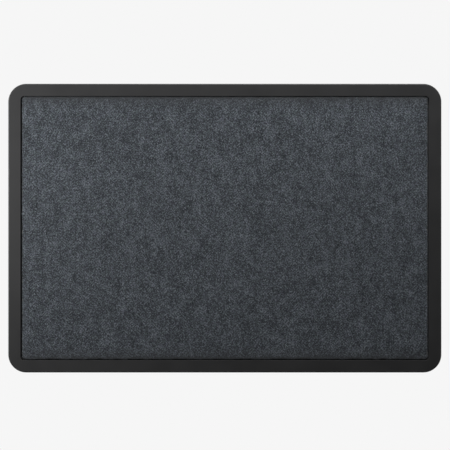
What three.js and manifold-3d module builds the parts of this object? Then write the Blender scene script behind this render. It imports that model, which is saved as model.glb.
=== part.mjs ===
// Desk mat: a moulded rubber tray with a raised border, and a bonded textile insert lying in its well.
// Millimetres, +Z up. The origin is at the middle of the footprint, on the surface that the mat lies on.
import * as THREE from "three";
import { mergeVertices } from "three/addons/utils/BufferGeometryUtils.js";
import Module from "manifold-3d";

// Tray, outside.
const LENGTH = 914.4;
const WIDTH = 609.6;
const HEIGHT = 9.5;
const CORNER_RADIUS = 38.1;
const EDGE_ROUNDING = 2.5;

// Tray, well.
const BORDER_WIDTH = 26;
const WELL_CORNER_RADIUS = 8;
const LIP_ROUNDING = 0.8;
const FLOOR_TOP = 2.8;

// Tray, underside: a rim all round, a shallow recess, and grip pads that stand as low as the rim.
const RIM_WIDTH = 12.7;
const RECESS_DEPTH = 1;
const RECESS_CORNER_RADIUS = CORNER_RADIUS - RIM_WIDTH;
const PAD_COLUMNS = 17;
const PAD_ROWS = 11;
const PAD_PITCH = 50.8;
const PAD_RADIUS = 9;
const PAD_TAPER = 0.6;
const PAD_SIDES = 6;
const PAD_ROOT = 0.5;

// Insert: a laminate with a gap to the well's wall all round.
const GAP_ALONG_LENGTH = 4;
const GAP_ALONG_WIDTH = 3.2;
const INSERT_CORNER_RADIUS = 5;
const FILM_THICKNESS = 0.3;
const BACKING_THICKNESS = 1.2;
const CORE_THICKNESS = 2;
const SCRIM_THICKNESS = 0.4;
const FACE_THICKNESS = 1.4;

// Modelling.
const OUTER_ARC_STEPS = 12;
const INNER_ARC_STEPS = 5;
const ROUNDING_STEPS = 3;
const CUT_MARGIN = 5;
const MERGE_TOLERANCE = 1e-4;

const QUARTER_TURN = Math.PI / 2;

const wasm = await Module();
wasm.setup();

function solidFrom(geometry) {
  const bare = geometry.clone();
  bare.deleteAttribute("normal");
  bare.deleteAttribute("uv");
  const merged = mergeVertices(bare, MERGE_TOLERANCE);
  const mesh = new wasm.Mesh({
    numProp: 3,
    vertProperties: merged.getAttribute("position").array,
    triVerts: new Uint32Array(merged.index.array),
  });
  return new wasm.Manifold(mesh);
}

function geometryFrom(solid) {
  const mesh = solid.getMesh();
  const geometry = new THREE.BufferGeometry();
  geometry.setAttribute("position", new THREE.BufferAttribute(mesh.vertProperties, 3));
  geometry.setIndex(new THREE.BufferAttribute(mesh.triVerts, 1));
  geometry.computeVertexNormals();
  return geometry;
}

function roundedRectangle(length, width, radius) {
  const corners = [
    [1, 1],
    [-1, 1],
    [-1, -1],
    [1, -1],
  ];
  const shape = new THREE.Shape();
  corners.forEach(([sideX, sideY], quarter) => {
    const x = sideX * (length / 2 - radius);
    const y = sideY * (width / 2 - radius);
    const start = quarter * QUARTER_TURN;
    shape.absarc(x, y, radius, start, start + QUARTER_TURN);
  });
  return shape;
}

// A straight-walled plate between two heights.
function plate(length, width, radius, bottom, top, arcSteps) {
  const geometry = new THREE.ExtrudeGeometry(roundedRectangle(length, width, radius), {
    depth: top - bottom,
    bevelEnabled: false,
    curveSegments: arcSteps,
  });
  return geometry.translate(0, 0, bottom);
}

// A plate whose upper edge is a quarter round: inwards where rounding is positive, and a flare where it
// is negative. Its lower edge is cut square at the given height.
function edgedPlate(length, width, radius, bottom, top, rounding, arcSteps) {
  const thickness = Math.abs(rounding);
  const start = bottom - thickness - CUT_MARGIN;
  const geometry = new THREE.ExtrudeGeometry(roundedRectangle(length, width, radius), {
    depth: top - start - 2 * thickness,
    bevelEnabled: true,
    bevelThickness: thickness,
    bevelSize: rounding,
    bevelOffset: -rounding,
    bevelSegments: ROUNDING_STEPS,
    curveSegments: arcSteps,
  });
  geometry.translate(0, 0, start + thickness);
  const cutHeight = 2 * (thickness + CUT_MARGIN);
  const cutter = new THREE.BoxGeometry(2 * length, 2 * width, cutHeight);
  cutter.translate(0, 0, bottom - cutHeight / 2);
  return solidFrom(geometry).subtract(solidFrom(cutter));
}

function gripPad(column, row) {
  const height = RECESS_DEPTH + PAD_ROOT;
  const pad = new THREE.CylinderGeometry(PAD_RADIUS, PAD_RADIUS - PAD_TAPER, height, PAD_SIDES);
  pad.rotateX(QUARTER_TURN);
  const x = (column - (PAD_COLUMNS - 1) / 2) * PAD_PITCH;
  const y = (row - (PAD_ROWS - 1) / 2) * PAD_PITCH;
  return solidFrom(pad.translate(x, y, height / 2));
}

function trayGeometry() {
  const wellLength = LENGTH - 2 * BORDER_WIDTH;
  const wellWidth = WIDTH - 2 * BORDER_WIDTH;
  const recessLength = LENGTH - 2 * RIM_WIDTH;
  const recessWidth = WIDTH - 2 * RIM_WIDTH;
  const slab = edgedPlate(LENGTH, WIDTH, CORNER_RADIUS, 0, HEIGHT, EDGE_ROUNDING, OUTER_ARC_STEPS);
  const well = edgedPlate(
    wellLength, wellWidth, WELL_CORNER_RADIUS, FLOOR_TOP, HEIGHT, -LIP_ROUNDING, INNER_ARC_STEPS,
  );
  const recess = solidFrom(
    plate(recessLength, recessWidth, RECESS_CORNER_RADIUS, -CUT_MARGIN, RECESS_DEPTH, OUTER_ARC_STEPS),
  );
  let tray = slab.subtract(well).subtract(recess);
  for (let column = 0; column < PAD_COLUMNS; column += 1) {
    for (let row = 0; row < PAD_ROWS; row += 1) {
      tray = tray.add(gripPad(column, row));
    }
  }
  return geometryFrom(tray);
}

function insertLayer(bottom, thickness) {
  const length = LENGTH - 2 * (BORDER_WIDTH + GAP_ALONG_LENGTH);
  const width = WIDTH - 2 * (BORDER_WIDTH + GAP_ALONG_WIDTH);
  return plate(length, width, INSERT_CORNER_RADIUS, bottom, bottom + thickness, INNER_ARC_STEPS);
}

function finish(color, roughness) {
  return new THREE.MeshStandardMaterial({ color, roughness, metalness: 0 });
}

function namedMesh(name, geometry, material) {
  const mesh = new THREE.Mesh(geometry, material);
  mesh.name = name;
  return mesh;
}

const INSERT_LAYERS = [
  { name: "bond_film", thickness: FILM_THICKNESS, material: finish(0xb9ab86, 0.45) },
  { name: "insert_backing", thickness: BACKING_THICKNESS, material: finish(0x1f2022, 0.8) },
  { name: "cushion_core", thickness: CORE_THICKNESS, material: finish(0x4b4e52, 0.9) },
  { name: "carrier_scrim", thickness: SCRIM_THICKNESS, material: finish(0x84857f, 0.85) },
  { name: "fabric_face", thickness: FACE_THICKNESS, material: finish(0x43474b, 0.95) },
];

function buildMat() {
  const mat = new THREE.Group();
  mat.name = "desk_mat";
  mat.add(namedMesh("tray", trayGeometry(), finish(0x37373a, 0.7)));
  let height = FLOOR_TOP;
  for (const { name, thickness, material } of INSERT_LAYERS) {
    mat.add(namedMesh(name, insertLayer(height, thickness), material));
    height += thickness;
  }
  return mat;
}

const group = buildMat();

export default group;
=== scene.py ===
"""Desk mat: the visual model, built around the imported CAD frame. Metres, +Z up, the frame's own origin."""

import math

import bmesh
import bpy
import numpy as np
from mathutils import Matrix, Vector


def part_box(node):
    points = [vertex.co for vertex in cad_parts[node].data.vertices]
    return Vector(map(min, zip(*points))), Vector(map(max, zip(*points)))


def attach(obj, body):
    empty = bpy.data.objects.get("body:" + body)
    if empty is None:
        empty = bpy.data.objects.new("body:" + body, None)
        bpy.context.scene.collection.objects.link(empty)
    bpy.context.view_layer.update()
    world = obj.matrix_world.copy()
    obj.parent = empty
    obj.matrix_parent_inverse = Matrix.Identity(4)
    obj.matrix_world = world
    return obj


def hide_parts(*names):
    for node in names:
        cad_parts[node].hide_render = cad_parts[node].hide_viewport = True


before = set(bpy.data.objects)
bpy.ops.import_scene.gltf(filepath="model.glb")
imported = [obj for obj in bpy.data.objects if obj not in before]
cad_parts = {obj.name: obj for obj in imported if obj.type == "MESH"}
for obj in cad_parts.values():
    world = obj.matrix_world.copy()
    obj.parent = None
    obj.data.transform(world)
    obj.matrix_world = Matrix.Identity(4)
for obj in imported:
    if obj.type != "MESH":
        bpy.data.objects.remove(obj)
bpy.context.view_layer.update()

MM = 0.001
SEED = 36024

# Tray: shape that the frame's boxes don't give.
OUTER_RADIUS = 38.1 * MM
TOP_ROUNDING = 2.5 * MM
FOOT_ROUNDING = 0.6 * MM
BORDER_WIDTH = 26 * MM
WELL_RADIUS = 8 * MM
LIP_ROUNDING = 0.35 * MM
RIM_WIDTH = 12.7 * MM
RECESS_DEPTH = 1 * MM
FILLET = 0.6 * MM
FILLET_MIDDLE = 0.3 * FILLET  # from either wall to the fillet's middle
RIM_EASING = 0.2 * FILLET
HOLD = 0.35 * MM
FLOOR_CAP_INSET = 12 * MM
FOOT_STEPS = 3
TOP_STEPS = 8
LIP_STEPS = 5
RUBBED_SHARE = 0.8  # how much of the top rounding's height is rubbed
FLAT_TOLERANCE = 0.01 * MM

# Grip pads under the tray.
PAD_COLUMNS = 17
PAD_ROWS = 11
PAD_PITCH = 50.8 * MM
PAD_RADIUS = 9 * MM
PAD_SIDE_STEPS = 6
PAD_CORNER_SOFTENING = 0.955
PAD_PROFILE = (  # share of the pad's radius, share of the recess's depth
    (1.11, 1.0), (1.04, 0.93), (1.0, 0.7), (0.965, 0.2), (0.945, 0.05), (0.915, 0.0),
    (0.58, 0.0), (0.555, 0.07), (0.525, 0.35), (0.41, 0.35), (0.38, 0.07), (0.355, 0.0),
)

# Insert.
INSERT_OFFSET = 0.6 * MM  # how far it lies towards +Y of the well's middle
INSERT_RADIUS = 5 * MM
INSERT_ARC_STEPS = 6
EDGE_STEP = 2.2 * MM
NAP_STEP = 2.5 * MM
NAP_HEIGHT = 0.13 * MM
NAP_WAVES = ((0.75, 25 * MM, 3.2 * MM), (0.45, 120 * MM, 16 * MM))  # share, longest and shortest wavelength
COLUMN_VALLEY = 0.09 * MM
EDGE_BAND = 1.1 * MM
EDGE_SPLITS = 3
EDGE_SLUMP = 0.3 * MM
EDGE_SLUMP_REACH = 3 * MM
DRIFT = 0.4 * MM
DRIFT_REACH = 20 * MM
DRIFT_LONGEST = 150 * MM
DRIFT_SHORTEST = 18 * MM
FULLNESS_LONG_SIDES = 1.4 * MM
FRAY_LONG_SIDES = 0.5 * MM
FRAY_SHORT_SIDES = 0.25 * MM
FRAY_LONGEST = 25 * MM
FRAY_SHORTEST = 3 * MM
CUT_EDGE = ((0.6, 0.97), (0.95, 0.8), (1.1, 0.5), (1.0, 0.2), (0.8, 0.0))  # shares of the reach and height
WALL_CLEARANCE = 0.25 * MM

# Edges of the layers under the textile: outset, and share of the layer's thickness.
FILM_EDGE = ((-0.9 * MM, 0), (-0.6 * MM, 0.4), (-0.8 * MM, 1))
BACKING_EDGE = ((-0.15 * MM, 0), (0, 0.12), (0, 0.88), (-0.15 * MM, 1))
FOAM_EDGE = ((-0.2 * MM, 0), (0.1 * MM, 0.2), (0.3 * MM, 0.5), (0.1 * MM, 0.8), (-0.2 * MM, 1))
CARRIER_EDGE = ((0, 0), (0.15 * MM, 0.5), (0, 1))
FILM_WOBBLE = 0.3 * MM
BACKING_WOBBLE = 0.06 * MM
FOAM_WOBBLE = 0.15 * MM
CARRIER_WOBBLE = 0.3 * MM
WOBBLE_LONGEST = 60 * MM
WOBBLE_SHORTEST = 7 * MM

# Weave of the textile: herringbone twill, its columns turning at every tenth yarn.
YARN = 1.55 * MM
TWILL_REPEAT = 6.1 * MM
TWILL_YARNS = 4
COLUMN_YARNS = 10
COLUMN_WIDTH = COLUMN_YARNS * YARN
WEFT_TONE = 0.78
YARN_SHADE_RUN = 2.6 * MM
YARN_UNLIKENESS = 7.77
WARP_SEED = 3.7
WEFT_SEED = 11.3
WANDER_SIZE = 14 * MM
WANDER_YARNS = 0.9
WANDER_DOWN_SHARE = 0.7
WIGGLE_SIZE = 2.2 * MM
WIGGLE_YARNS = 0.16
FLOAT_SHARE = 0.5  # one over the yarns that a float passes
FIBRE_WIDTH = 0.2 * MM
FIBRE_RUN = 1.4 * MM
TWIST = math.radians(18)

# Loose fibres along the cut edge of the textile.
FIBRE_COUNT = 9000
FIBRE_RADIUS = 0.12 * MM
FIBRE_SIDES = 3
FIBRE_RINGS = 3
FIBRE_SHORTEST = 1.4 * MM
FIBRE_LONGEST = 3.6 * MM
FIBRE_ROOT_DEPTH = 0.9 * MM
FIBRE_ABOVE_UNDERSIDE = 0.3 * MM
FIBRE_BELOW_FACE = 0.35 * MM
FIBRE_LEAN = 0.7
FIBRE_LIFT = 0.5
FIBRE_DROOP = 0.6
FIBRE_CURL = 0.45
FIBRE_TAPER = 0.7

# Rubber of the tray.
RUBBER_GRAIN = 0.7 * MM
RUBBER_GRAIN_DEPTH = 0.06 * MM
RUBBER_CLOUDS = 45 * MM
RUBBER_TONES = ((0.3, (0.0125, 0.0125, 0.013)), (0.7, (0.0175, 0.0175, 0.018)))
RUBBED_PATCHES = 9 * MM
RUBBED_TONE = (0.034, 0.034, 0.035, 1)
# Pale lint colour at the foot of the well's wall: partly lint, partly painted light that lifts the shaded
# groove.
LINT_AND_GROOVE_LIGHT_TUFTS = 1.6 * MM
LINT_AND_GROOVE_LIGHT_TONE = (0.036, 0.037, 0.039, 1)

# Tweed: how far each source of its tone counts, and its colours.
SHADE_SHARE = 0.84
FIBRES_SHARE = 0.50
FLECKS_SHARE = 0.62
MOTTLE_SHARE = 0.48
FLECKS_SIZE = 2.7 * MM
MOTTLE_SIZE = 15 * MM
HEATHER_SIZE = 9 * MM
HAIRS_SIZE = 1.7 * MM
WEAVE_DEPTH = 0.4 * MM
WEAVE_STRENGTH = 0.8
TWEED_TONES = (
    (0.16, (0.012, 0.0136, 0.0160)),
    (0.40, (0.040, 0.0454, 0.0524)),
    (0.60, (0.080, 0.0905, 0.1037)),
    (0.86, (0.160, 0.1785, 0.2010)),
)
HEATHER_TINTS = (
    (0.30, (1.00, 0.94, 1.02)),
    (0.50, (0.97, 0.97, 0.97)),
    (0.70, (0.94, 0.99, 0.92)),
)
TWEED_SHEEN = (0.7, 0.78, 0.88, 1)
HAIRS_TONE = (0.135, 0.148, 0.162, 1)
# Painted shade along the textile's long cut edges, where the border shades it; partly dark backing showing
# between thinner fibres.
EDGE_SHADE_TONE = (0.028, 0.0285, 0.029, 1)
EDGE_SHADE_TUFTS_SIZE = 7 * MM
EDGE_SHADE_TUFTS_REACH = 2.5 * MM
DEEP_EDGE_SHADE_ZONE = (-0.5 * MM, 8.5 * MM)  # from the cut edge: painted shade darkest up to the first place, gone at the second
DEEP_EDGE_SHADE_SHARE = 0.85
FAINT_EDGE_SHADE_ZONE = (2 * MM, 30 * MM)
FAINT_EDGE_SHADE_SHARE = 0.4
LOOSE_YARN_CLOUDS = 3 * MM
LOOSE_YARN_GRAIN = 0.2 * MM
LOOSE_YARN_DEPTH = 0.03 * MM
LOOSE_YARN_TONES = ((0.3, (0.05, 0.054, 0.059)), (0.7, (0.17, 0.18, 0.195)))

# Layers that the textile hides.
CARRIER_TAPE = 1.3 * MM
CARRIER_DEPTH = 0.3 * MM
CARRIER_TONES = ((0.1, (0.13, 0.13, 0.115)), (0.9, (0.28, 0.285, 0.26)))
FOAM_CELLS = 0.6 * MM
FOAM_CLOUDS = 6 * MM
FOAM_DEPTH = 0.2 * MM
FOAM_TONES = ((0.25, (0.045, 0.05, 0.056)), (0.75, (0.105, 0.112, 0.122)))
SHEET_LINES = 0.8 * MM
SHEET_TALC = 7 * MM
SHEET_DEPTH = 0.05 * MM
SHEET_TONES = ((0.0, (0.012, 0.012, 0.0135)), (1.0, (0.03, 0.03, 0.031)))
FILM_BUBBLES = 2.2 * MM
FILM_CLOUDS = 8 * MM
FILM_DEPTH = 0.08 * MM
FILM_TONES = ((0.3, (0.30, 0.23, 0.11)), (0.7, (0.46, 0.37, 0.20)))

# Picture.
MAT_SHARE_OF_FRAME = 0.9628
LENS_MM = 200
SENSOR_MM = 36
VIEW_CENTRE = (0.0004, 0.00705)  # the middle of the picture from the mat's middle, as shares of the frame
FLOOR_HALF = 12
FLOOR_DROP = 0.05 * MM
BACKDROP = 0.9216
AMBIENT = 0.08
LIGHT_SIZE = 0.5
LIGHTS = (  # name, place, power, whether it leaves gloss
    ("left_light", (-0.9, 0.15, 0.5), 6.5, True),
    ("rear_light", (0.2, 1.5, 0.8), 23.1, True),
    ("right_fill", (0.95, 0.8, 0.8), 5.8, False),
)


# ---------------------------------------------------------------- outlines and noise


def outline(half_x, half_y, radius, long_steps, short_steps, arc_steps):
    """Points and outward directions round a rounded rectangle.

    They run anticlockwise from the middle of its +X +Y corner. long_steps and short_steps count the segments
    from the middle of one corner to the next, and the first and last arc_steps of them lie on the corners.
    """
    centres = [
        np.array([side_x * (half_x - radius), side_y * (half_y - radius)])
        for side_x, side_y in ((1, 1), (-1, 1), (-1, -1), (1, -1))
    ]
    points = []
    directions = []
    for side in range(4):
        start, end = centres[side], centres[(side + 1) % 4]
        steps = short_steps if side % 2 else long_steps
        for step in range(steps):
            before = min(step, arc_steps)
            after = max(step - (steps - arc_steps), 0)
            share = (step - before - after) / (steps - 2 * arc_steps)
            angle = math.radians(45 + 90 * side + 45 * (before + after) / arc_steps)
            direction = np.array([math.cos(angle), math.sin(angle)])
            points.append(start + share * (end - start) + radius * direction)
            directions.append(direction)
    return np.array(points), np.array(directions)


def ring_at(shape, outset, height):
    """The shape's points moved outwards by outset, at a height."""
    points, directions = shape
    moved = points + directions * np.reshape(outset, (-1, 1))
    return np.column_stack([moved, np.full(len(moved), height)])


def edge_noise(rng, count, spacing, coarsest, finest):
    """Noise round a closed edge, between two wavelengths, with a root mean square of 1."""
    length = count * spacing
    waves = np.arange(max(1, round(length / coarsest)), round(length / finest) + 1)
    phases = rng.uniform(0, 2 * math.pi, len(waves))
    turns = np.arange(count) * 2 * math.pi / count
    noise = np.cos(np.outer(turns, waves) + phases).sum(1)
    return noise / noise.std()


def field_noise(rng, shape, spacing, coarsest, finest):
    """Noise over a grid, between two wavelengths, with a root mean square of 1."""
    along_y = np.fft.fftfreq(shape[0], spacing)
    along_x = np.fft.fftfreq(shape[1], spacing)
    frequency = np.hypot(along_x[None, :], along_y[:, None])
    kept = np.exp(-((frequency * finest) ** 2)) * (1 - np.exp(-((frequency * coarsest) ** 2)))
    field = np.fft.ifft2(np.fft.fft2(rng.standard_normal(shape)) * kept).real
    return field / field.std()


def quarter_round(steps):
    """Shares of a rounding's radius, across and up, from its flat start to its end."""
    turns = [math.pi / 2 * step / steps for step in range(steps + 1)]
    return [(math.sin(turn), 1 - math.cos(turn)) for turn in turns]


# ---------------------------------------------------------------- meshes


class Draft:
    """The points and faces of one mesh, gathered before Blender makes it."""

    def __init__(self):
        self.points = []
        self.faces = []

    def ring(self, points):
        start = len(self.points)
        self.points.extend(tuple(point) for point in points)
        return list(range(start, len(self.points)))

    def band(self, first, second):
        for here in range(len(first)):
            after = (here + 1) % len(first)
            self.faces.append((first[here], first[after], second[after], second[here]))

    def bands(self, rings):
        for first, second in zip(rings, rings[1:]):
            self.band(first, second)

    def cap(self, ring):
        self.faces.append(tuple(ring))

    def fan(self, ring, point):
        centre = self.ring([point])[0]
        for here in range(len(ring)):
            self.faces.append((ring[here], ring[(here + 1) % len(ring)], centre))

    def piece(self, name, node, slot, material):
        """Makes the mesh, and lets it stand for a CAD node."""
        mesh = bpy.data.meshes.new(name)
        mesh.from_pydata(self.points, [], self.faces)
        made = bmesh.new()
        made.from_mesh(mesh)
        bmesh.ops.recalc_face_normals(made, faces=made.faces)
        made.to_mesh(mesh)
        made.free()
        mesh.shade_smooth()
        mesh.materials.append(material)
        piece = bpy.data.objects.new(name, mesh)
        bpy.context.scene.collection.objects.link(piece)
        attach(piece, "root")
        if node:
            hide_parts(node)
        return piece


# ---------------------------------------------------------------- materials


class Surface:
    """A procedural material, built one node at a time. Its textures lie on the object, in metres."""

    def __init__(self, name, **shader):
        self.material = bpy.data.materials.new(name)
        self.material.use_nodes = True
        self.tree = self.material.node_tree
        self.shader = self.tree.nodes["Principled BSDF"]
        self.place = self.node("ShaderNodeTexCoord").outputs["Object"]
        for socket, value in shader.items():
            self.feed(self.shader.inputs[socket.replace("_", " ")], value)

    def feed(self, socket, value):
        if isinstance(value, bpy.types.NodeSocket):
            self.tree.links.new(value, socket)
        else:
            socket.default_value = value

    def node(self, kind, inputs=None, **settings):
        made = self.tree.nodes.new(kind)
        for name, value in settings.items():
            setattr(made, name, value)
        for name, value in (inputs or {}).items():
            self.feed(made.inputs[name], value)
        return made

    def math(self, operation, *values):
        inputs = dict(enumerate(values))
        return self.node("ShaderNodeMath", inputs, operation=operation).outputs[0]

    def noise(self, size, detail=2.0, roughness=0.5, place=None):
        """Noise with features of about that size."""
        place = place or self.place
        inputs = {"Vector": place, "Scale": 1 / size, "Detail": detail, "Roughness": roughness}
        return self.node("ShaderNodeTexNoise", inputs).outputs["Fac"]

    def marked(self, name):
        """How far the mesh marks this place with an attribute."""
        return self.node("ShaderNodeAttribute", attribute_name=name).outputs["Fac"]

    def stretched(self, x, y, z):
        """The place with each direction scaled."""
        inputs = {"Vector": self.place, "Scale": (x, y, z)}
        return self.node("ShaderNodeMapping", inputs).outputs["Vector"]

    def axes(self):
        return self.node("ShaderNodeSeparateXYZ", {"Vector": self.place}).outputs

    def grey(self, value):
        inputs = {"Red": value, "Green": value, "Blue": value}
        return self.node("ShaderNodeCombineColor", inputs).outputs["Color"]

    def yarn_shade(self, yarn, along, offset):
        """A smooth random shade along each yarn, with no likeness from one yarn to the next."""
        inputs = {"X": self.math("MULTIPLY", yarn, YARN_UNLIKENESS), "Y": along, "Z": offset}
        place = self.node("ShaderNodeCombineXYZ", inputs).outputs["Vector"]
        return self.spread(self.noise(1, detail=1, place=place), 0.3, 0.7, 0, 1)

    def random(self, x, y):
        """A random number for each pair of whole numbers."""
        pair = self.node("ShaderNodeCombineXYZ", {"X": x, "Y": y}).outputs["Vector"]
        made = self.node("ShaderNodeTexWhiteNoise", {"Vector": pair}, noise_dimensions="3D")
        return made.outputs["Value"]

    def spread(self, value, low, high, to_low, to_high, interpolation="LINEAR"):
        """The value's range low to high becomes to_low to to_high."""
        inputs = {"Value": value, "From Min": low, "From Max": high, "To Min": to_low, "To Max": to_high}
        made = self.node("ShaderNodeMapRange", inputs, interpolation_type=interpolation)
        return made.outputs["Result"]

    def blend(self, share, first, second):
        """Numbers mixed by a share."""
        inputs = {"Factor": share, "A": first, "B": second}
        return self.node("ShaderNodeMix", inputs, data_type="FLOAT").outputs[0]

    def balance(self, parts):
        """Parts that each vary about one half, added by their shares so that the sum does too."""
        total = 0.5 - 0.5 * sum(share for _, share in parts)
        for part, share in parts:
            total = self.math("MULTIPLY_ADD", part, share, total)
        return total

    def ramp(self, value, stops):
        """Colours along a value: stops are (value, (red, green, blue))."""
        made = self.node("ShaderNodeValToRGB", {"Fac": value})
        elements = made.color_ramp.elements
        while len(elements) < len(stops):
            elements.new(1.0)
        for element, (position, colour) in zip(elements, stops):
            element.position = position
            element.color = (*colour, 1.0)
        return made.outputs["Color"]

    def tinted(self, share, first, second, blend_type="MIX"):
        """Colours mixed by a share. The node's colour sockets share their names, so they go by number."""
        inputs = {0: share, 6: first, 7: second}
        return self.node("ShaderNodeMix", inputs, data_type="RGBA", blend_type=blend_type).outputs[2]

    def colour(self, value):
        self.feed(self.shader.inputs["Base Color"], value)

    def roughness(self, value):
        self.feed(self.shader.inputs["Roughness"], value)

    def bump(self, height, distance, strength=1.0):
        inputs = {"Height": height, "Distance": distance, "Strength": strength}
        self.feed(self.shader.inputs["Normal"], self.node("ShaderNodeBump", inputs).outputs["Normal"])


def moulded_rubber():
    """Matte black rubber: fine moulded grain, faint flow clouds, rubbed edges, and pale lint at the foot of
    its well that is also painted light in the shaded groove.
    """
    surface = Surface("moulded_rubber", Specular_IOR_Level=0.5)
    grain = surface.noise(RUBBER_GRAIN, detail=3)
    clouds = surface.noise(RUBBER_CLOUDS, detail=3)
    patches = surface.spread(surface.noise(RUBBED_PATCHES, detail=4), 0.42, 0.68, 0.15, 1.0)
    worn = surface.math("MULTIPLY", surface.marked("rub"), patches)
    # Lint tone at the foot of the well wall, also painted light that brightens the groove's shade.
    tufts = surface.spread(surface.noise(LINT_AND_GROOVE_LIGHT_TUFTS, detail=4), 0.35, 0.65, 0.2, 1.0)
    lint_and_groove_light = surface.math("MULTIPLY", surface.marked("lint_and_groove_light"), tufts)
    tone = surface.math("MULTIPLY_ADD", grain, 0.35, surface.math("MULTIPLY", clouds, 0.65))
    rubbed = surface.tinted(worn, surface.ramp(tone, RUBBER_TONES), RUBBED_TONE)
    surface.colour(surface.tinted(lint_and_groove_light, rubbed, LINT_AND_GROOVE_LIGHT_TONE))
    matte = surface.spread(clouds, 0.3, 0.7, 0.55, 0.63)
    surface.roughness(surface.math("MULTIPLY_ADD", worn, -0.08, matte))
    surface.bump(surface.math("MULTIPLY_ADD", clouds, 0.2, grain), RUBBER_GRAIN_DEPTH)
    return surface.material


def painted_edge_shade(surface, y):
    """Painted shade along the two long cut edges, in tufts: the border's shade on the textile, partly dark
    backing showing between thinner fibres.
    """
    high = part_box("fabric_face")[1]
    from_edge = surface.math("SUBTRACT", high.y, surface.math("ABSOLUTE", y))
    tufts = surface.spread(surface.noise(EDGE_SHADE_TUFTS_SIZE, detail=3), 0.3, 0.7, -EDGE_SHADE_TUFTS_REACH, EDGE_SHADE_TUFTS_REACH)
    reach = surface.math("ADD", from_edge, tufts)
    deep_edge_shade = surface.spread(reach, *DEEP_EDGE_SHADE_ZONE, DEEP_EDGE_SHADE_SHARE, 0, "SMOOTHSTEP")
    faint_edge_shade = surface.spread(reach, *FAINT_EDGE_SHADE_ZONE, FAINT_EDGE_SHADE_SHARE, 0, "SMOOTHSTEP")
    return surface.math("MAXIMUM", deep_edge_shade, faint_edge_shade)


def weave(surface, x, y):
    """A 2/2 herringbone twill.

    Returns its relief, a random shade that runs along each yarn, and 1 where the warp is on top.
    """
    wander = surface.spread(surface.noise(WANDER_SIZE), 0, 1, -WANDER_YARNS, WANDER_YARNS)
    ripple = surface.noise(WIGGLE_SIZE, detail=1)
    wiggle = surface.spread(ripple, 0.2, 0.8, -WIGGLE_YARNS, WIGGLE_YARNS)
    across = surface.math("ADD", surface.math("DIVIDE", x, YARN), surface.math("ADD", wander, wiggle))
    shift = surface.math("SUBTRACT", surface.math("MULTIPLY", wander, WANDER_DOWN_SHARE), wiggle)
    down = surface.math("ADD", surface.math("DIVIDE", y, TWILL_REPEAT / TWILL_YARNS), shift)
    warp = surface.math("FLOOR", across)
    weft = surface.math("FLOOR", down)
    in_warp = surface.math("FRACT", across)
    in_weft = surface.math("FRACT", down)
    step = surface.math("PINGPONG", warp, COLUMN_YARNS)
    phase = surface.math("FLOORED_MODULO", surface.math("ADD", weft, step), TWILL_YARNS)
    warp_on_top = surface.math("LESS_THAN", phase, TWILL_YARNS / 2 - 0.5)
    column = surface.math("FLOORED_MODULO", warp, 2 * COLUMN_YARNS)
    rising = surface.math("LESS_THAN", column, COLUMN_YARNS - 0.5)
    lean = surface.spread(rising, 0, 1, -FLOAT_SHARE, FLOAT_SHARE)
    along_warp = surface.math("MULTIPLY", surface.math("ADD", phase, in_weft), FLOAT_SHARE)
    along_weft = surface.math("MULTIPLY_ADD", surface.math("SUBTRACT", phase, 2.5), lean,
                              surface.math("MULTIPLY_ADD", in_warp, FLOAT_SHARE, FLOAT_SHARE / 2))
    warp_float = pillow(surface, in_warp, along_warp)
    weft_float = pillow(surface, in_weft, along_weft)
    relief = surface.blend(warp_on_top, weft_float, warp_float)
    warp_shade = surface.yarn_shade(warp, surface.math("DIVIDE", y, YARN_SHADE_RUN), WARP_SEED)
    weft_shade = surface.yarn_shade(weft, surface.math("DIVIDE", x, YARN_SHADE_RUN), WEFT_SEED)
    shade = surface.blend(warp_on_top, surface.math("MULTIPLY", weft_shade, WEFT_TONE), warp_shade)
    return relief, shade, warp_on_top


def pillow(surface, across, along):
    """The rounded height of a float of yarn, from shares of the way across and along it."""
    round_side = surface.math("PINGPONG", across, 0.5)
    round_end = surface.math("PINGPONG", along, 0.5)
    side = surface.spread(round_side, 0, 0.34, 0, 1, "SMOOTHSTEP")
    end = surface.spread(round_end, 0, 0.2, 0.35, 1, "SMOOTHSTEP")
    return surface.math("MULTIPLY", side, end)


def twisted_fibres(surface, warp_on_top):
    """Fine fibres that lie a little aslant to each yarn."""
    turned = []
    scale = (1 / FIBRE_WIDTH, 1 / FIBRE_RUN, 1)
    for angle in (TWIST, TWIST + math.pi / 2):
        inputs = {"Vector": surface.place, "Rotation": (0, 0, angle), "Scale": scale}
        place = surface.node("ShaderNodeMapping", inputs).outputs["Vector"]
        turned.append(surface.noise(1, detail=2, place=place))
    return surface.blend(warp_on_top, turned[1], turned[0])


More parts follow.
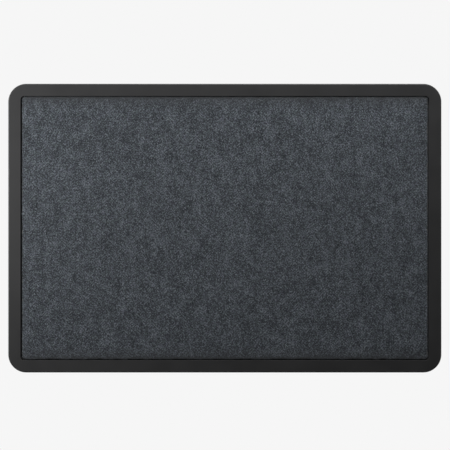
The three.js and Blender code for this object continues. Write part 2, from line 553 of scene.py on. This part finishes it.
def tweed():
    """Heathered herringbone tweed, felted: yarns of mixed shades under fine fibres and soft mottling."""
    surface = Surface("tweed", Roughness=0.95, Specular_IOR_Level=0.2, Sheen_Weight=0.25,
                      Sheen_Roughness=0.55, Sheen_Tint=TWEED_SHEEN)
    x, y, _ = surface.axes()
    relief, shade, warp_on_top = weave(surface, x, y)
    fibres = twisted_fibres(surface, warp_on_top)
    streaked = surface.stretched(1.0, 0.7, 1.0)
    flecks = surface.noise(FLECKS_SIZE, detail=2, place=streaked)
    mottle = surface.noise(MOTTLE_SIZE, detail=2, place=streaked)
    tone = surface.balance((
        (shade, SHADE_SHARE), (fibres, FIBRES_SHARE), (flecks, FLECKS_SHARE), (mottle, MOTTLE_SHARE),
    ))
    cloth = surface.ramp(tone, TWEED_TONES)
    heather = surface.ramp(surface.noise(HEATHER_SIZE, detail=4, roughness=0.65), HEATHER_TINTS)
    cloth = surface.tinted(1.0, cloth, heather, "MULTIPLY")
    # Painted shade: the cloth darkens between the yarn floats and lightens a little on their crowns,
    # following the weave's relief.
    painted_crevice_shade = surface.spread(relief, 0, 0.6, 0.62, 1.06)
    cloth = surface.tinted(1.0, cloth, surface.grey(painted_crevice_shade), "MULTIPLY")
    hairs = surface.math("ABSOLUTE", surface.spread(surface.noise(HAIRS_SIZE, detail=4), 0, 1, -1, 1))
    hairs = surface.spread(hairs, 0, 0.025, 0.3, 0, "SMOOTHSTEP")
    cloth = surface.tinted(hairs, cloth, HAIRS_TONE)
    # Painted shade along the long cut edges darkens the cloth.
    surface.colour(surface.tinted(painted_edge_shade(surface, y), cloth, EDGE_SHADE_TONE))
    height = surface.math("MULTIPLY_ADD", fibres, 0.45, relief)
    surface.bump(surface.math("ADD", height, hairs), WEAVE_DEPTH, WEAVE_STRENGTH)
    return surface.material


def loose_yarn():
    """The same yarn as the textile, seen fibre by fibre."""
    surface = Surface("loose_yarn", Roughness=0.9, Specular_IOR_Level=0.2, Sheen_Weight=0.2)
    tone = surface.noise(LOOSE_YARN_CLOUDS, detail=3)
    surface.colour(surface.ramp(tone, LOOSE_YARN_TONES))
    surface.bump(surface.noise(LOOSE_YARN_GRAIN), LOOSE_YARN_DEPTH)
    return surface.material


def woven_carrier():
    """Plain-woven grey carrier cloth: flat tapes over and under each other."""
    surface = Surface("woven_carrier", Roughness=0.6, Specular_IOR_Level=0.4)
    x, y, _ = surface.axes()
    across = surface.math("DIVIDE", x, CARRIER_TAPE)
    down = surface.math("DIVIDE", y, CARRIER_TAPE)
    column = surface.math("FLOOR", across)
    row = surface.math("FLOOR", down)
    over = surface.math("PINGPONG", surface.math("ADD", column, row), 1)
    ridge_x = surface.math("PINGPONG", across, 0.5)
    ridge_y = surface.math("PINGPONG", down, 0.5)
    ridge_and_painted_shade = surface.blend(over, ridge_x, ridge_y)
    # The tapes' colour follows their ridges: painted shade at each tape's sides, lighter along its crown.
    shade = surface.math("MULTIPLY_ADD", surface.random(column, row), 0.5, ridge_and_painted_shade)
    surface.colour(surface.ramp(shade, CARRIER_TONES))
    surface.bump(ridge_and_painted_shade, CARRIER_DEPTH)
    return surface.material


def cell_foam():
    """Fine closed-cell foam: painted shade in the cell hollows, paler on the raised walls between them."""
    surface = Surface("cell_foam", Roughness=0.9, Specular_IOR_Level=0.3)
    inputs = {"Vector": surface.place, "Scale": 1 / FOAM_CELLS}
    cells = surface.node("ShaderNodeTexVoronoi", inputs, feature="DISTANCE_TO_EDGE").outputs["Distance"]
    clouds = surface.noise(FOAM_CLOUDS, detail=3)
    # Painted shade: the cells' hollows darker than their raised walls, following the bump.
    tone = surface.math("MULTIPLY_ADD", clouds, 0.6, surface.spread(cells, 0, 0.3, 0.4, 0))
    surface.colour(surface.ramp(tone, FOAM_TONES))
    surface.bump(surface.spread(cells, 0, 0.3, 1, 0), FOAM_DEPTH)
    return surface.material


def sheet_rubber():
    """Dense black rubber sheet with the faint lines of its rollers and a trace of talc."""
    surface = Surface("sheet_rubber", Specular_IOR_Level=0.45)
    lines = surface.noise(SHEET_LINES, detail=2, place=surface.stretched(0.05, 1.0, 1.0))
    talc = surface.spread(surface.noise(SHEET_TALC, detail=5), 0.5, 0.75, 0, 1)
    surface.colour(surface.ramp(talc, SHEET_TONES))
    surface.roughness(surface.spread(lines, 0.3, 0.7, 0.62, 0.78))
    surface.bump(lines, SHEET_DEPTH)
    return surface.material


def adhesive():
    """Amber adhesive film, a little cloudy, with small trapped bubbles."""
    surface = Surface("adhesive", Specular_IOR_Level=0.5, Coat_Weight=0.3, Coat_Roughness=0.3)
    inputs = {"Vector": surface.place, "Scale": 1 / FILM_BUBBLES}
    bubbles = surface.node("ShaderNodeTexVoronoi", inputs, feature="SMOOTH_F1").outputs["Distance"]
    clouds = surface.noise(FILM_CLOUDS, detail=3)
    surface.colour(surface.ramp(clouds, FILM_TONES))
    surface.roughness(surface.spread(clouds, 0.3, 0.7, 0.35, 0.5))
    surface.bump(surface.spread(bubbles, 0.1, 0.5, 0, 1), FILM_DEPTH)
    return surface.material


# ---------------------------------------------------------------- tray


def pad_lattice(draft, height):
    """Returns a function that gives the number of the point at a corner or edge step of the pad cells."""
    made = {}
    step = PAD_PITCH / PAD_SIDE_STEPS
    middle_x = PAD_COLUMNS * PAD_SIDE_STEPS / 2
    middle_y = PAD_ROWS * PAD_SIDE_STEPS / 2

    def point_at(column, row):
        if (column, row) not in made:
            place = ((column - middle_x) * step, (row - middle_y) * step, height)
            made[column, row] = draft.ring([place])[0]
        return made[column, row]

    return point_at


def square_walk(low_x, low_y, high_x, high_y):
    """Whole-number steps round a rectangle, anticlockwise from its +X +Y corner."""
    top = [(x, high_y) for x in range(high_x, low_x, -1)]
    left = [(low_x, y) for y in range(high_y, low_y, -1)]
    bottom = [(x, low_y) for x in range(low_x, high_x)]
    right = [(high_x, y) for y in range(low_y, high_y)]
    return top + left + bottom + right


def hexagon(count):
    """Points round a hexagon of radius 1 with softened corners, from the +X +Y diagonal."""
    points = []
    for step in range(count):
        angle = math.pi / 4 + 2 * math.pi * step / count
        from_side = (angle + math.pi / 6) % (math.pi / 3) - math.pi / 6
        radius = min(math.cos(math.pi / 6) / math.cos(from_side), PAD_CORNER_SOFTENING)
        points.append((radius * math.cos(angle), radius * math.sin(angle)))
    return points


def add_pads(draft, foot):
    """The tray's underside inside its recess, with a grip pad in each cell. Returns its outer ring."""
    point_at = pad_lattice(draft, foot + RECESS_DEPTH)
    pad = hexagon(4 * PAD_SIDE_STEPS)
    for column in range(PAD_COLUMNS):
        for row in range(PAD_ROWS):
            low_x, low_y = column * PAD_SIDE_STEPS, row * PAD_SIDE_STEPS
            cell = square_walk(low_x, low_y, low_x + PAD_SIDE_STEPS, low_y + PAD_SIDE_STEPS)
            centre_x = (column - (PAD_COLUMNS - 1) / 2) * PAD_PITCH
            centre_y = (row - (PAD_ROWS - 1) / 2) * PAD_PITCH
            rings = [[point_at(*place) for place in cell]]
            for share, depth in PAD_PROFILE:
                radius = share * PAD_RADIUS
                height = foot + depth * RECESS_DEPTH
                rings.append(draft.ring(
                    (centre_x + radius * x, centre_y + radius * y, height) for x, y in pad))
            draft.bands(rings)
            draft.fan(rings[-1], (centre_x, centre_y, foot))
    around = square_walk(0, 0, PAD_COLUMNS * PAD_SIDE_STEPS, PAD_ROWS * PAD_SIDE_STEPS)
    return [point_at(*place) for place in around]


def tray_profile(foot, top, floor):
    """Rows of (shape, inset, height) from the underside's recess, round the border, to the well's floor."""
    rows = [
        ("outer", RIM_WIDTH + FILLET + HOLD, foot + RECESS_DEPTH),
        ("outer", RIM_WIDTH + FILLET, foot + RECESS_DEPTH),
        ("outer", RIM_WIDTH + FILLET_MIDDLE, foot + RECESS_DEPTH - FILLET_MIDDLE),
        ("outer", RIM_WIDTH, foot + FILLET),
        ("outer", RIM_WIDTH - RIM_EASING, foot),
        ("outer", RIM_WIDTH - RIM_EASING - HOLD, foot),
        ("outer", FOOT_ROUNDING + HOLD, foot),
    ]
    for across, up in quarter_round(FOOT_STEPS):
        rows.append(("outer", FOOT_ROUNDING * (1 - across), foot + FOOT_ROUNDING * up))
    rows.append(("outer", 0, foot + FOOT_ROUNDING + HOLD))
    rows.append(("outer", 0, top - TOP_ROUNDING - HOLD))
    for across, up in reversed(quarter_round(TOP_STEPS)):
        rows.append(("outer", TOP_ROUNDING * (1 - across), top - TOP_ROUNDING * up))
    rows.append(("outer", TOP_ROUNDING + HOLD, top))
    rows.append(("well", -LIP_ROUNDING - HOLD, top))
    for across, up in quarter_round(LIP_STEPS):
        rows.append(("well", -LIP_ROUNDING * (1 - across), top - LIP_ROUNDING * up))
    rows += [
        ("well", 0, top - LIP_ROUNDING - HOLD),
        ("well", 0, floor + FILLET + HOLD),
        ("well", 0, floor + FILLET),
        ("well", FILLET_MIDDLE, floor + FILLET_MIDDLE),
        ("well", FILLET, floor),
        ("well", FILLET + HOLD, floor),
        ("well", FLOOR_CAP_INSET, floor),
    ]
    return rows


def mark_points(piece, name, numbers):
    """Gives the piece an attribute that is 1 at those points and 0 at the others."""
    marks = piece.data.attributes.new(name, "FLOAT", "POINT")
    values = np.zeros(len(piece.data.vertices), np.float32)
    values[numbers] = 1.0
    marks.data.foreach_set("value", values)


def make_tray():
    low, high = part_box("tray")
    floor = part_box("bond_film")[0].z
    steps = (PAD_COLUMNS * PAD_SIDE_STEPS, PAD_ROWS * PAD_SIDE_STEPS, PAD_SIDE_STEPS + 2)
    shapes = {
        "outer": outline(high.x, high.y, OUTER_RADIUS, *steps),
        "well": outline(high.x - BORDER_WIDTH, high.y - BORDER_WIDTH, WELL_RADIUS, *steps),
    }
    draft = Draft()
    rings = [add_pads(draft, low.z)]
    rub = []
    lint_and_groove_light = []
    for shape, inset, height in tray_profile(low.z, high.z, floor):
        rings.append(draft.ring(ring_at(shapes[shape], -inset, height)))
        if high.z - TOP_ROUNDING * RUBBED_SHARE < height < high.z - FLAT_TOLERANCE:
            rub.extend(rings[-1])
        # Points at the foot of the well wall get the lint colour, which also paints light into the shaded
        # groove.
        if shape == "well" and height < floor + 2 * FILLET:
            lint_and_groove_light.extend(rings[-1])
    draft.bands(rings)
    draft.cap(rings[-1])
    tray = draft.piece("tray_moulding", "tray", "tray_rubber", moulded_rubber())
    mark_points(tray, "rub", rub)
    mark_points(tray, "lint_and_groove_light", lint_and_groove_light)


# ---------------------------------------------------------------- insert


def insert_outline(node):
    """A layer's outline from its CAD box, finely stepped: its points and their outward directions."""
    low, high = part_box(node)
    long_steps = round((high.x - low.x) / EDGE_STEP)
    short_steps = round((high.y - low.y) / EDGE_STEP)
    return outline(high.x, high.y, INSERT_RADIUS, long_steps, short_steps, INSERT_ARC_STEPS)


def well_half():
    """Half the length and half the width of the well."""
    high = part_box("tray")[1]
    return np.array([high.x - BORDER_WIDTH, high.y - BORDER_WIDTH])


def clear_of_wall(places, well):
    """Places in the insert, pressed back where they come too close to the wall of the well."""
    radius = WELL_RADIUS - WALL_CLEARANCE
    inner = well - WELL_RADIUS
    offset = np.array([0, INSERT_OFFSET])
    placed = places[:, :2] + offset
    nearest = np.clip(placed, -inner, inner)
    away = placed - nearest
    reach = np.maximum(np.linalg.norm(away, axis=1), radius)[:, None]
    pressed = nearest + away * radius / reach - offset
    return np.column_stack([pressed, places[:, 2]])


def make_layer(name, node, slot, material, profile, wobble, rng):
    """A flat layer of the insert. Profile rows are (outset, share of its thickness), upwards."""
    low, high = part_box(node)
    shape = insert_outline(node)
    count = len(shape[0])
    waves = wobble * edge_noise(rng, count, EDGE_STEP, WOBBLE_LONGEST, WOBBLE_SHORTEST)
    draft = Draft()
    rings = []
    for outset, share in profile:
        height = low.z + share * (high.z - low.z)
        rings.append(draft.ring(ring_at(shape, outset + waves, height)))
    draft.cap(rings[0])
    draft.bands(rings)
    draft.cap(rings[-1])
    return draft.piece(name, node, slot, material)


def even_places(half, step):
    """Grid places from -half to half, about a step apart."""
    return np.linspace(-half, half, round(2 * half / step) + 1)


def rounded_corners(x, y, half_x, half_y, radius):
    """Grid points with each square corner pressed into its arc."""
    over_x = np.maximum(np.abs(x) - (half_x - radius), 0)
    over_y = np.maximum(np.abs(y) - (half_y - radius), 0)
    reach = np.hypot(over_x, over_y)
    press = np.where(reach > 0, np.maximum(over_x, over_y) / np.maximum(reach, 1e-12), 1)
    pressed_x = x - np.sign(x) * over_x * (1 - press)
    pressed_y = y - np.sign(y) * over_y * (1 - press)
    return pressed_x, pressed_y


def waver(rng, places, half):
    """A slow waviness along an edge of that half length."""
    waves = np.arange(round(2 * half / DRIFT_LONGEST), round(2 * half / DRIFT_SHORTEST))
    phases = rng.uniform(0, 2 * math.pi, len(waves))
    turns = places / half * math.pi
    return DRIFT * math.sqrt(2 / len(waves)) * np.cos(np.outer(turns, waves) + phases).sum(1)


def drifted(x, y, half_x, half_y, rng):
    """Points moved a little near the edges, as the cut wanders."""
    for side in (-1, 1):
        moved_y = y + np.exp((side * y - half_y) / DRIFT_REACH) * waver(rng, x, half_x)
        moved_x = x + np.exp((side * x - half_x) / DRIFT_REACH) * waver(rng, y, half_y)
        x, y = moved_x, moved_y
    return x, y


def nap_heights(x, from_edge, top, rng):
    """The textile's upper surface: nap, valleys where the herringbone turns, and slumped edges."""
    nap = sum(share * field_noise(rng, x.shape, NAP_STEP, longest, shortest)
              for share, longest, shortest in NAP_WAVES)
    turn = np.abs((x / COLUMN_WIDTH) % 1 - 0.5) * 2
    valley = -COLUMN_VALLEY * turn**4
    slump = -EDGE_SLUMP * np.exp(-((from_edge / EDGE_SLUMP_REACH) ** 2))
    return top + NAP_HEIGHT * nap + valley + slump


def grid_faces(rows, columns):
    numbers = np.arange(rows * columns).reshape(rows, columns)
    corners = (numbers[:-1, :-1], numbers[:-1, 1:], numbers[1:, 1:], numbers[1:, :-1])
    return np.stack(corners, axis=-1).reshape(-1, 4).tolist()


def grid_border(rows, columns):
    """The numbers of a grid's outer points, anticlockwise."""
    numbers = np.arange(rows * columns).reshape(rows, columns)
    parts = (numbers[0, :-1], numbers[:-1, -1], numbers[-1, :0:-1], numbers[:0:-1, 0])
    return np.concatenate(parts).tolist()


def outwards_from(points, half_x, half_y, radius):
    """The direction straight out of a rounded rectangle at points on its outline."""
    inner = np.array([half_x - radius, half_y - radius])
    away = points - np.clip(points, -inner, inner)
    return away / np.linalg.norm(away, axis=1)[:, None]


def split_ring(values, parts):
    """A closed ring of values with each step split into equal parts."""
    shares = np.arange(parts) / parts
    after = np.roll(values, -1, axis=0)
    split = values[:, None] + shares[None, :, None] * (after - values)[:, None]
    return split.reshape(-1, values.shape[1])


def cut_edge(draft, border, half_x, half_y, low, rng):
    """The textile's frayed cut edge, more finely stepped than the grid that it hangs from."""
    start = np.array([draft.points[number] for number in border])
    outwards = outwards_from(start[:, :2], half_x, half_y, INSERT_RADIUS - EDGE_BAND)
    outwards = split_ring(outwards, EDGE_SPLITS)
    start = split_ring(start, EDGE_SPLITS)
    fray = edge_noise(rng, len(start), NAP_STEP / EDGE_SPLITS, FRAY_LONGEST, FRAY_SHORTEST)
    share = np.abs(outwards[:, 1])
    fray *= FRAY_SHORT_SIDES + (FRAY_LONG_SIDES - FRAY_SHORT_SIDES) * share
    fray += FULLNESS_LONG_SIDES * share
    rings = []
    for outset, height in CUT_EDGE:
        points = start.copy()
        points[:, :2] += outwards * (outset * (EDGE_BAND + fray))[:, None]
        points[:, 2] = low + height * (start[:, 2] - low)
        rings.append(draft.ring(points.tolist()))
    for here, number in enumerate(border):
        first = here * EDGE_SPLITS
        along = [rings[0][(first + part) % len(rings[0])] for part in range(EDGE_SPLITS + 1)]
        draft.faces.append((border[(here + 1) % len(border)], number, *along))
    draft.bands(rings)
    draft.cap(rings[-1])


def make_textile(well, rng):
    low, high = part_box("fabric_face")
    half_x, half_y = high.x - EDGE_BAND, high.y - EDGE_BAND
    x, y = np.meshgrid(even_places(half_x, NAP_STEP), even_places(half_y, NAP_STEP))
    from_edge = np.minimum(high.x - np.abs(x), high.y - np.abs(y))
    x, y = rounded_corners(x, y, half_x, half_y, INSERT_RADIUS - EDGE_BAND)
    z = nap_heights(x, from_edge, high.z, rng)
    draft = Draft()
    draft.ring(np.stack([x, y, z], axis=-1).reshape(-1, 3).tolist())
    draft.faces.extend(grid_faces(*x.shape))
    cut_edge(draft, grid_border(*x.shape), half_x, half_y, low.z, rng)
    places = np.array(draft.points)
    places[:, 0], places[:, 1] = drifted(places[:, 0], places[:, 1], high.x, high.y, rng)
    draft.points = clear_of_wall(places, well).tolist()
    return draft.piece("textile_face", "fabric_face", "face_textile", tweed())


def fibre_middles(point, outwards, heights, rng):
    """The middle line of one loose fibre that leaves the textile's edge near a point."""
    sideways = np.array([-outwards[1], outwards[0]])
    heading = np.append(outwards + rng.normal(0, FIBRE_LEAN) * sideways, 0)
    heading /= np.linalg.norm(heading)
    across = np.array([-heading[1], heading[0], 0])
    length = rng.uniform(FIBRE_SHORTEST, FIBRE_LONGEST)
    lift = rng.uniform(-FIBRE_LIFT, FIBRE_LIFT)
    curl = rng.normal(0, FIBRE_CURL)
    root = np.append(point - FIBRE_ROOT_DEPTH * outwards, rng.uniform(*heights))
    root[:2] += sideways * rng.uniform(-1, 1) * EDGE_STEP
    shares = np.linspace(0, 1, FIBRE_RINGS)[:, None]
    middles = root + length * (shares * heading + shares**2 * curl * across)
    middles[:, 2:] += length * shares * (lift - FIBRE_DROOP * shares)
    return middles, across


def make_fibres(well, rng):
    """Loose fibres that curl out of the textile's cut edge, each a thin tapered prism."""
    low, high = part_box("fabric_face")
    heights = (low.z + FIBRE_ABOVE_UNDERSIDE, high.z - FIBRE_BELOW_FACE)
    points, directions = insert_outline("fabric_face")
    up = np.array([0, 0, 1])
    turns = [2 * math.pi * side / FIBRE_SIDES for side in range(FIBRE_SIDES)]
    radii = FIBRE_RADIUS * (1 - FIBRE_TAPER * np.linspace(0, 1, FIBRE_RINGS))
    draft = Draft()
    for start in rng.integers(0, len(points), FIBRE_COUNT):
        middles, across = fibre_middles(points[start], directions[start], heights, rng)
        rings = []
        for middle, radius in zip(clear_of_wall(middles, well), radii):
            rings.append(draft.ring(
                middle + radius * (math.cos(turn) * across + math.sin(turn) * up) for turn in turns))
        draft.cap(rings[0])
        draft.bands(rings)
        draft.cap(rings[-1])
    return draft.piece("edge_fibres", None, "face_textile", loose_yarn())


def make_insert():
    rng = np.random.default_rng(SEED)
    film = make_layer("bond_film_layer", "bond_film", "adhesive_film", adhesive(),
                      FILM_EDGE, FILM_WOBBLE, rng)
    backing = make_layer("backing_sheet", "insert_backing", "backing_rubber", sheet_rubber(),
                         BACKING_EDGE, BACKING_WOBBLE, rng)
    core = make_layer("foam_core", "cushion_core", "core_foam", cell_foam(),
                      FOAM_EDGE, FOAM_WOBBLE, rng)
    carrier = make_layer("carrier_cloth", "carrier_scrim", "scrim_cloth", woven_carrier(),
                         CARRIER_EDGE, CARRIER_WOBBLE, rng)
    well = well_half()
    face = make_textile(well, rng)
    fibres = make_fibres(well, rng)
    for piece in (film, backing, core, carrier, face, fibres):
        piece.location.y += INSERT_OFFSET


# ---------------------------------------------------------------- studio


def make_camera():
    """Straight above the mat with a long lens."""
    low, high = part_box("tray")
    frame_width = (high.x - low.x) / MAT_SHARE_OF_FRAME
    data = bpy.data.cameras.new("camera")
    data.lens = LENS_MM
    data.sensor_width = SENSOR_MM
    camera = bpy.data.objects.new("camera", data)
    distance = frame_width * LENS_MM / SENSOR_MM
    camera.location = (VIEW_CENTRE[0] * frame_width, VIEW_CENTRE[1] * frame_width, high.z + distance)
    bpy.context.scene.collection.objects.link(camera)
    bpy.context.scene.camera = camera


def make_floor():
    """A plain pale floor that shows evenly, as a lit table does."""
    material = bpy.data.materials.new("pale_floor")
    material.use_nodes = True
    nodes = material.node_tree.nodes
    nodes.remove(nodes["Principled BSDF"])
    light = nodes.new("ShaderNodeEmission")
    light.inputs["Color"].default_value = (BACKDROP, BACKDROP, BACKDROP, 1)
    material.node_tree.links.new(light.outputs["Emission"], nodes["Material Output"].inputs["Surface"])
    mesh = bpy.data.meshes.new("floor")
    corners = [(FLOOR_HALF * x, FLOOR_HALF * y, 0) for x, y in ((-1, -1), (1, -1), (1, 1), (-1, 1))]
    mesh.from_pydata(corners, [], [(0, 1, 2, 3)])
    mesh.materials.append(material)
    floor = bpy.data.objects.new("floor", mesh)
    floor.location.z = -FLOOR_DROP
    bpy.context.scene.collection.objects.link(floor)


def make_world():
    """The backdrop beyond the floor, and a weak even light from all round."""
    world = bpy.data.worlds.new("studio")
    world.use_nodes = True
    nodes = world.node_tree.nodes
    background = nodes["Background"]
    background.inputs["Color"].default_value = (1, 1, 1, 1)
    seen = nodes.new("ShaderNodeLightPath").outputs["Is Camera Ray"]
    strength = nodes.new("ShaderNodeMapRange")
    strength.inputs["To Min"].default_value = AMBIENT
    strength.inputs["To Max"].default_value = BACKDROP
    world.node_tree.links.new(seen, strength.inputs["Value"])
    world.node_tree.links.new(strength.outputs["Result"], background.inputs["Strength"])
    bpy.context.scene.world = world


def soft_light(name, place, power, shines):
    """A square soft light that faces the middle of the mat. One that doesn't shine leaves no gloss."""
    data = bpy.data.lights.new(name, "AREA")
    data.shape = "SQUARE"
    data.size = LIGHT_SIZE
    data.energy = power
    light = bpy.data.objects.new(name, data)
    light.location = place
    light.visible_camera = False
    light.visible_glossy = shines
    light.rotation_euler = Vector(place).to_track_quat("Z", "Y").to_euler()
    bpy.context.scene.collection.objects.link(light)


make_camera()
make_tray()
make_insert()
make_floor()
make_world()
for light in LIGHTS:
    soft_light(*light)
bpy.context.scene.view_settings.view_transform = "Standard"
